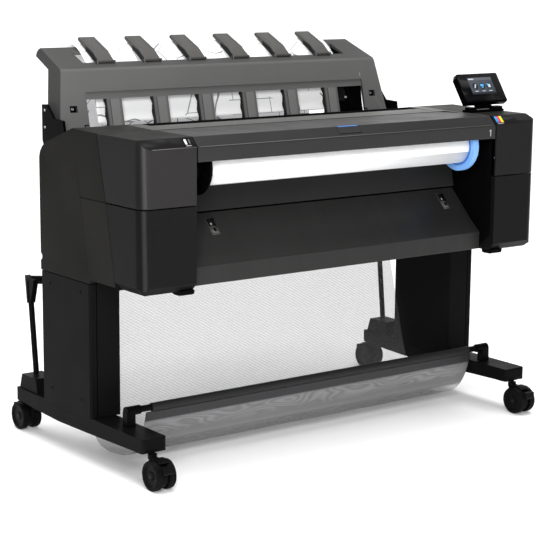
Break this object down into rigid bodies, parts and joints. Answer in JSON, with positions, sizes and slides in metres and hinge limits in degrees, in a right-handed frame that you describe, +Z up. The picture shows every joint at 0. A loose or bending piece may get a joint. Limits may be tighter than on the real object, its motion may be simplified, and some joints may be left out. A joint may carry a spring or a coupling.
{
  "type": "large format plotter",
  "caption": "Floor-standing wide-format roll plotter with side ink modules, lidded roll bay, output table, rear stacker, tilting touch panel, cloth basket and castered stand.",
  "frame": {"origin": "on the floor under the middle of the bounding box", "axes": "+X to the machine's right as its user sees it, +Y to the rear, +Z up"},
  "size_m": [1.4, 0.8724, 1.1312],
  "materials": {
    "stand_paint": "satin black powder coat",
    "caster_plastic": "satin",
    "caster_rubber": "matte",
    "bar_paint": "satin black",
    "mesh_cloth": "fine open net",
    "side_plastic": "fine texture",
    "door_plastic": "fine texture",
    "panel_plastic": "fine texture",
    "lid_plastic": "fine texture",
    "hood_plastic": "fine texture",
    "table_plastic": "satin",
    "chassis_paint": "satin black",
    "rail_steel": "ground and zinc plated",
    "paper_white": "matt paper",
    "hub_blue": "satin",
    "accent_blue": "satin",
    "black_plastic": "semi gloss",
    "display_shell": "gloss"
  },
  "bodies": {
    "plotter_frame": {"foot_right": "stand_paint", "foot_left": "stand_paint", "pedestal_right": "stand_paint", "pedestal_left": "stand_paint", "cross_brace": "stand_paint", "basket_post_right": "bar_paint", "basket_post_left": "bar_paint", "basket_rear_bar": "bar_paint", "basket_elbow_right": "bar_paint", "basket_elbow_left": "bar_paint", "basket_front_bar": "bar_paint", "basket_cloth": "mesh_cloth", "chassis": "chassis_paint", "side_cover_right": "side_plastic", "side_cover_left": "side_plastic", "lower_cover_right": "panel_plastic", "lower_cover_left": "panel_plastic", "ink_cartridges_right": "black_plastic", "ink_cartridges_left": "black_plastic", "top_cover": "lid_plastic", "rear_cover": "panel_plastic", "power_inlet": "black_plastic", "output_table": "table_plastic", "paper_guide": "panel_plastic", "carriage_rail": "rail_steel", "stacker_hood": "hood_plastic", "stacker_bin": "panel_plastic", "stacker_bracket_right": "bar_paint", "stacker_bracket_left": "bar_paint", "printed_sheet": "paper_white", "display_base": "black_plastic"},
    "caster_fork_front_left": {"caster_fork_front_left": "caster_plastic"},
    "caster_wheels_front_left": {"caster_wheels_front_left": "caster_rubber"},
    "caster_brake_front_left": {"caster_brake_front_left": "caster_plastic"},
    "caster_fork_front_right": {"caster_fork_front_right": "caster_plastic"},
    "caster_wheels_front_right": {"caster_wheels_front_right": "caster_rubber"},
    "caster_brake_front_right": {"caster_brake_front_right": "caster_plastic"},
    "caster_fork_rear_left": {"caster_fork_rear_left": "caster_plastic"},
    "caster_wheels_rear_left": {"caster_wheels_rear_left": "caster_rubber"},
    "caster_brake_rear_left": {"caster_brake_rear_left": "caster_plastic"},
    "caster_fork_rear_right": {"caster_fork_rear_right": "caster_plastic"},
    "caster_wheels_rear_right": {"caster_wheels_rear_right": "caster_rubber"},
    "caster_brake_rear_right": {"caster_brake_rear_right": "caster_plastic"},
    "roll_cover_lid": {"roll_cover": "lid_plastic"},
    "roll_cover_latch": {"roll_cover_latch": "accent_blue"},
    "ink_door_left": {"ink_door_left": "door_plastic"},
    "ink_door_right": {"ink_door_right": "door_plastic"},
    "media_roll": {"spindle": "black_plastic", "spindle_hub_right": "hub_blue", "spindle_hub_left": "black_plastic", "paper_roll": "paper_white"},
    "print_carriage": {"print_carriage": "panel_plastic"},
    "feed_roller": {"feed_roller": "black_plastic"},
    "stacker_finger_1": {"stacker_finger_1": "hood_plastic"},
    "stacker_finger_2": {"stacker_finger_2": "hood_plastic"},
    "stacker_finger_3": {"stacker_finger_3": "hood_plastic"},
    "stacker_finger_4": {"stacker_finger_4": "hood_plastic"},
    "stacker_finger_5": {"stacker_finger_5": "hood_plastic"},
    "stacker_finger_6": {"stacker_finger_6": "hood_plastic"},
    "display": {"display_housing": "display_shell"}
  },
  "joints": [
    {"name": "caster_swivel_front_left", "type": "hinge", "parent": "plotter_frame", "child": "caster_fork_front_left", "pos_m": [-0.656, -0.35718, 0.078], "axis": [0, 0, 1], "continuous": true},
    {"name": "caster_roll_front_left", "type": "hinge", "parent": "caster_fork_front_left", "child": "caster_wheels_front_left", "pos_m": [-0.656, -0.38918, 0.04], "axis": [1, 0, 0], "continuous": true},
    {"name": "caster_brake_press_front_left", "type": "hinge", "parent": "caster_fork_front_left", "child": "caster_brake_front_left", "pos_m": [-0.656, -0.42318, 0.053], "axis": [1, 0, 0], "range_deg": [0, 10]},
    {"name": "caster_swivel_front_right", "type": "hinge", "parent": "plotter_frame", "child": "caster_fork_front_right", "pos_m": [0.656, -0.35718, 0.078], "axis": [0, 0, 1], "continuous": true},
    {"name": "caster_roll_front_right", "type": "hinge", "parent": "caster_fork_front_right", "child": "caster_wheels_front_right", "pos_m": [0.656, -0.38918, 0.04], "axis": [1, 0, 0], "continuous": true},
    {"name": "caster_brake_press_front_right", "type": "hinge", "parent": "caster_fork_front_right", "child": "caster_brake_front_right", "pos_m": [0.656, -0.42318, 0.053], "axis": [1, 0, 0], "range_deg": [0, 10]},
    {"name": "caster_swivel_rear_left", "type": "hinge", "parent": "plotter_frame", "child": "caster_fork_rear_left", "pos_m": [-0.656, 0.29182, 0.078], "axis": [0, 0, 1], "continuous": true},
    {"name": "caster_roll_rear_left", "type": "hinge", "parent": "caster_fork_rear_left", "child": "caster_wheels_rear_left", "pos_m": [-0.656, 0.32382, 0.04], "axis": [1, 0, 0], "continuous": true},
    {"name": "caster_brake_press_rear_left", "type": "hinge", "parent": "caster_fork_rear_left", "child": "caster_brake_rear_left", "pos_m": [-0.656, 0.35782, 0.053], "axis": [-1, 0, 0], "range_deg": [0, 10]},
    {"name": "caster_swivel_rear_right", "type": "hinge", "parent": "plotter_frame", "child": "caster_fork_rear_right", "pos_m": [0.656, 0.29182, 0.078], "axis": [0, 0, 1], "continuous": true},
    {"name": "caster_roll_rear_right", "type": "hinge", "parent": "caster_fork_rear_right", "child": "caster_wheels_rear_right", "pos_m": [0.656, 0.32382, 0.04], "axis": [1, 0, 0], "continuous": true},
    {"name": "caster_brake_press_rear_right", "type": "hinge", "parent": "caster_fork_rear_right", "child": "caster_brake_rear_right", "pos_m": [0.656, 0.35782, 0.053], "axis": [-1, 0, 0], "range_deg": [0, 10]},
    {"name": "roll_cover_hinge", "type": "hinge", "parent": "plotter_frame", "child": "roll_cover_lid", "pos_m": [0, -0.17748, 0.913], "axis": [-1, 0, 0], "range_deg": [0, 75]},
    {"name": "roll_cover_latch_lift", "type": "hinge", "parent": "roll_cover_lid", "child": "roll_cover_latch", "pos_m": [0, -0.34198, 0.9118], "axis": [-1, 0, 0], "range_deg": [0, 20], "stiffness_Nm_per_rad": 0.02},
    {"name": "ink_door_hinge_left", "type": "hinge", "parent": "plotter_frame", "child": "ink_door_left", "pos_m": [0, -0.37918, 0.739], "axis": [1, 0, 0], "range_deg": [0, 80]},
    {"name": "ink_door_hinge_right", "type": "hinge", "parent": "plotter_frame", "child": "ink_door_right", "pos_m": [0, -0.37918, 0.739], "axis": [1, 0, 0], "range_deg": [0, 80]},
    {"name": "spindle_turn", "type": "hinge", "parent": "plotter_frame", "child": "media_roll", "pos_m": [0, -0.29218, 0.824], "axis": [1, 0, 0], "continuous": true},
    {"name": "carriage_travel", "type": "slide", "parent": "plotter_frame", "child": "print_carriage", "axis": [1, 0, 0], "range_m": [-0.86, 0]},
    {"name": "feed_roller_turn", "type": "hinge", "parent": "plotter_frame", "child": "feed_roller", "pos_m": [0, -0.15018, 0.688], "axis": [1, 0, 0], "continuous": true},
    {"name": "stacker_finger_lift_1", "type": "hinge", "parent": "plotter_frame", "child": "stacker_finger_1", "pos_m": [-0.41, 0.26482, 1.0652], "axis": [1, 0, 0], "range_deg": [0, 35]},
    {"name": "stacker_finger_lift_2", "type": "hinge", "parent": "plotter_frame", "child": "stacker_finger_2", "pos_m": [-0.2505, 0.26482, 1.0652], "axis": [1, 0, 0], "range_deg": [0, 35]},
    {"name": "stacker_finger_lift_3", "type": "hinge", "parent": "plotter_frame", "child": "stacker_finger_3", "pos_m": [-0.091, 0.26482, 1.0652], "axis": [1, 0, 0], "range_deg": [0, 35]},
    {"name": "stacker_finger_lift_4", "type": "hinge", "parent": "plotter_frame", "child": "stacker_finger_4", "pos_m": [0.0685, 0.26482, 1.0652], "axis": [1, 0, 0], "range_deg": [0, 35]},
    {"name": "stacker_finger_lift_5", "type": "hinge", "parent": "plotter_frame", "child": "stacker_finger_5", "pos_m": [0.228, 0.26482, 1.0652], "axis": [1, 0, 0], "range_deg": [0, 35]},
    {"name": "stacker_finger_lift_6", "type": "hinge", "parent": "plotter_frame", "child": "stacker_finger_6", "pos_m": [0.3875, 0.26482, 1.0652], "axis": [1, 0, 0], "range_deg": [0, 35]},
    {"name": "display_tilt", "type": "hinge", "parent": "plotter_frame", "child": "display", "pos_m": [0.6, -0.25028, 0.9278], "axis": [1, 0, 0], "range_deg": [-20, 25]}
  ]
}
